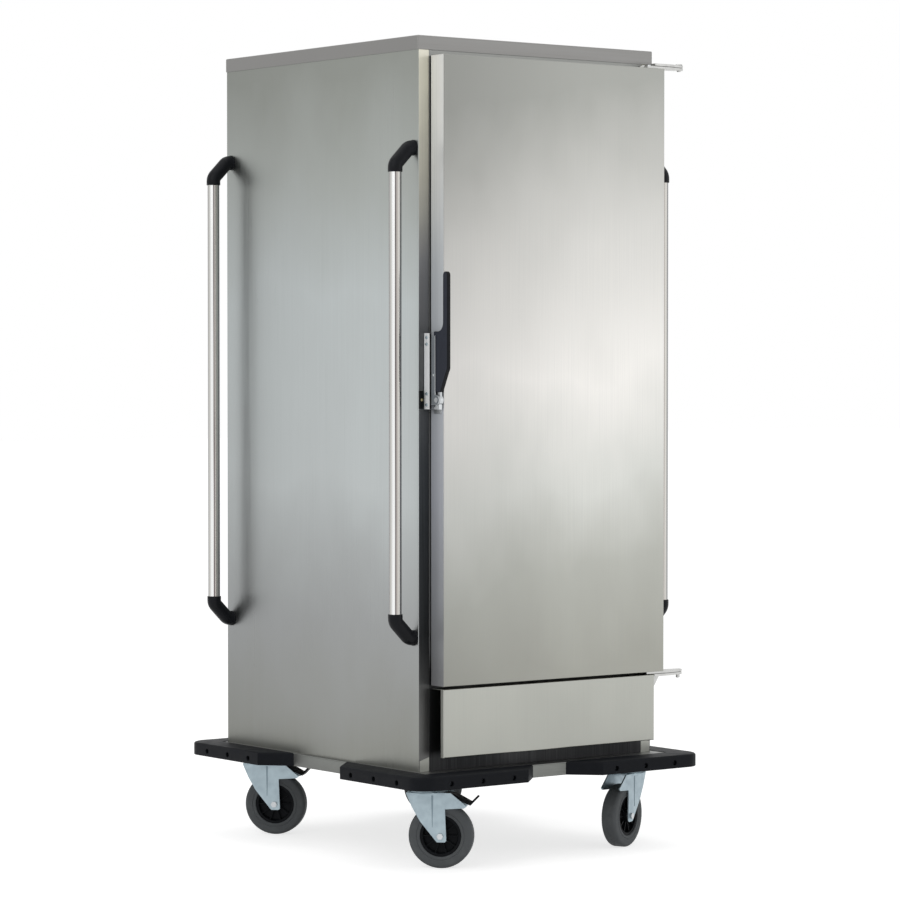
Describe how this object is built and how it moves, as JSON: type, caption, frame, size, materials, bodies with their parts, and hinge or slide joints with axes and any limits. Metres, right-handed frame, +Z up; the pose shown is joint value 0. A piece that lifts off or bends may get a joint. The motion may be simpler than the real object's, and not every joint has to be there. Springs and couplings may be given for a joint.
{
  "type": "enclosed meal tray cart",
  "caption": "Tall stainless cabinet on swivel casters with a full-height side-hung door, lever latch, tube push handles, corner bumpers and tray rails inside.",
  "frame": {"origin": "on the floor, under the middle of the outline that the corner bumpers draw", "axes": "+Z up, the door faces -Y, the hinges are on the +X side"},
  "size_m": [0.706, 0.805, 1.589],
  "materials": {
    "stainless_skin": "brushed",
    "stainless_frame": "brushed",
    "stainless_tube": "polished",
    "black_plastic": "moulded",
    "plated_steel": "satin chrome",
    "zinc_plate": "zinc plated",
    "brass": "turned",
    "foam": "rigid foam",
    "seal_rubber": "moulded",
    "grey_tyre": "moulded rubber"
  },
  "bodies": {
    "cabinet": {"base_frame": "stainless_frame", "deck_plate": "stainless_frame", "left_side_panel": "stainless_skin", "right_side_panel": "stainless_skin", "rear_panel": "stainless_skin", "top_cover": "stainless_skin", "front_frame": "stainless_frame", "lower_front_panel": "stainless_skin", "compartment_floor": "stainless_frame", "rail_uprights": "stainless_frame", "left_tray_rails": "stainless_frame", "right_tray_rails": "stainless_frame", "caster_top_plates": "zinc_plate", "caster_bolts": "zinc_plate", "left_handle_tubes": "stainless_tube", "right_handle_tubes": "stainless_tube", "left_handle_elbows": "black_plastic", "right_handle_elbows": "black_plastic", "front_left_bumper": "black_plastic", "front_right_bumper": "black_plastic", "rear_left_bumper": "black_plastic", "rear_right_bumper": "black_plastic", "bumper_screws": "zinc_plate", "upper_hinge_bracket": "plated_steel", "lower_hinge_bracket": "plated_steel", "hinge_pins": "plated_steel", "latch_bracket": "plated_steel", "latch_screws": "zinc_plate", "latch_pivot": "plated_steel", "lock_block": "black_plastic", "lock_bolt": "brass"},
    "door": {"door_skin": "stainless_skin", "door_liner": "stainless_frame", "door_core": "foam", "door_gasket": "seal_rubber", "upper_hinge_arm": "plated_steel", "lower_hinge_arm": "plated_steel", "latch_keeper": "plated_steel"},
    "lever": {"latch_lever": "plated_steel", "latch_grip": "black_plastic", "latch_hook": "plated_steel"},
    "front_left_swivel": {"front_left_fork": "zinc_plate", "front_left_axle": "plated_steel"},
    "front_left_wheel": {"front_left_hub": "black_plastic", "front_left_tyre": "grey_tyre"},
    "front_left_pedal": {"front_left_brake_pedal": "black_plastic"},
    "front_right_swivel": {"front_right_fork": "zinc_plate", "front_right_axle": "plated_steel"},
    "front_right_wheel": {"front_right_hub": "black_plastic", "front_right_tyre": "grey_tyre"},
    "rear_left_swivel": {"rear_left_fork": "zinc_plate", "rear_left_axle": "plated_steel"},
    "rear_left_wheel": {"rear_left_hub": "black_plastic", "rear_left_tyre": "grey_tyre"},
    "rear_left_pedal": {"rear_left_brake_pedal": "black_plastic"},
    "rear_right_swivel": {"rear_right_fork": "zinc_plate", "rear_right_axle": "plated_steel"},
    "rear_right_wheel": {"rear_right_hub": "black_plastic", "rear_right_tyre": "grey_tyre"}
  },
  "joints": [
    {"name": "door_swing", "type": "hinge", "parent": "cabinet", "child": "door", "pos_m": [0.3445, -0.3335, 0.952], "axis": [0, 0, 1], "range_deg": [0, 270]},
    {"name": "lever_throw", "type": "hinge", "parent": "cabinet", "child": "lever", "pos_m": [-0.26925, -0.35, 0.897], "axis": [1, 0, 0], "range_deg": [0, 80]},
    {"name": "front_left_swivel", "type": "hinge", "parent": "cabinet", "child": "front_left_swivel", "pos_m": [-0.258, -0.2865, 0.15], "axis": [0, 0, 1], "continuous": true},
    {"name": "front_left_roll", "type": "hinge", "parent": "front_left_swivel", "child": "front_left_wheel", "pos_m": [-0.2336, -0.3109, 0.0625], "axis": [0.7071, 0.7071, 0], "continuous": true},
    {"name": "front_left_brake", "type": "hinge", "parent": "front_left_swivel", "child": "front_left_pedal", "pos_m": [-0.21663, -0.32787, 0.1345], "axis": [0.7071, 0.7071, 0], "range_deg": [0, 10]},
    {"name": "front_right_swivel", "type": "hinge", "parent": "cabinet", "child": "front_right_swivel", "pos_m": [0.258, -0.2865, 0.15], "axis": [0, 0, 1], "continuous": true},
    {"name": "front_right_roll", "type": "hinge", "parent": "front_right_swivel", "child": "front_right_wheel", "pos_m": [0.22624, -0.29998, 0.0625], "axis": [0.3907, -0.9205, 0], "continuous": true},
    {"name": "rear_left_swivel", "type": "hinge", "parent": "cabinet", "child": "rear_left_swivel", "pos_m": [-0.244, 0.2955, 0.15], "axis": [0, 0, 1], "continuous": true},
    {"name": "rear_left_roll", "type": "hinge", "parent": "rear_left_swivel", "child": "rear_left_wheel", "pos_m": [-0.22047, 0.27027, 0.0625], "axis": [0.7314, 0.682, 0], "continuous": true},
    {"name": "rear_left_brake", "type": "hinge", "parent": "rear_left_swivel", "child": "rear_left_pedal", "pos_m": [-0.2041, 0.25272, 0.1345], "axis": [0.7314, 0.682, 0], "range_deg": [0, 10]},
    {"name": "rear_right_swivel", "type": "hinge", "parent": "cabinet", "child": "rear_right_swivel", "pos_m": [0.244, 0.2955, 0.15], "axis": [0, 0, 1], "continuous": true},
    {"name": "rear_right_roll", "type": "hinge", "parent": "rear_right_swivel", "child": "rear_right_wheel", "pos_m": [0.21645, 0.31626, 0.0625], "axis": [-0.6018, -0.7986, 0], "continuous": true}
  ]
}
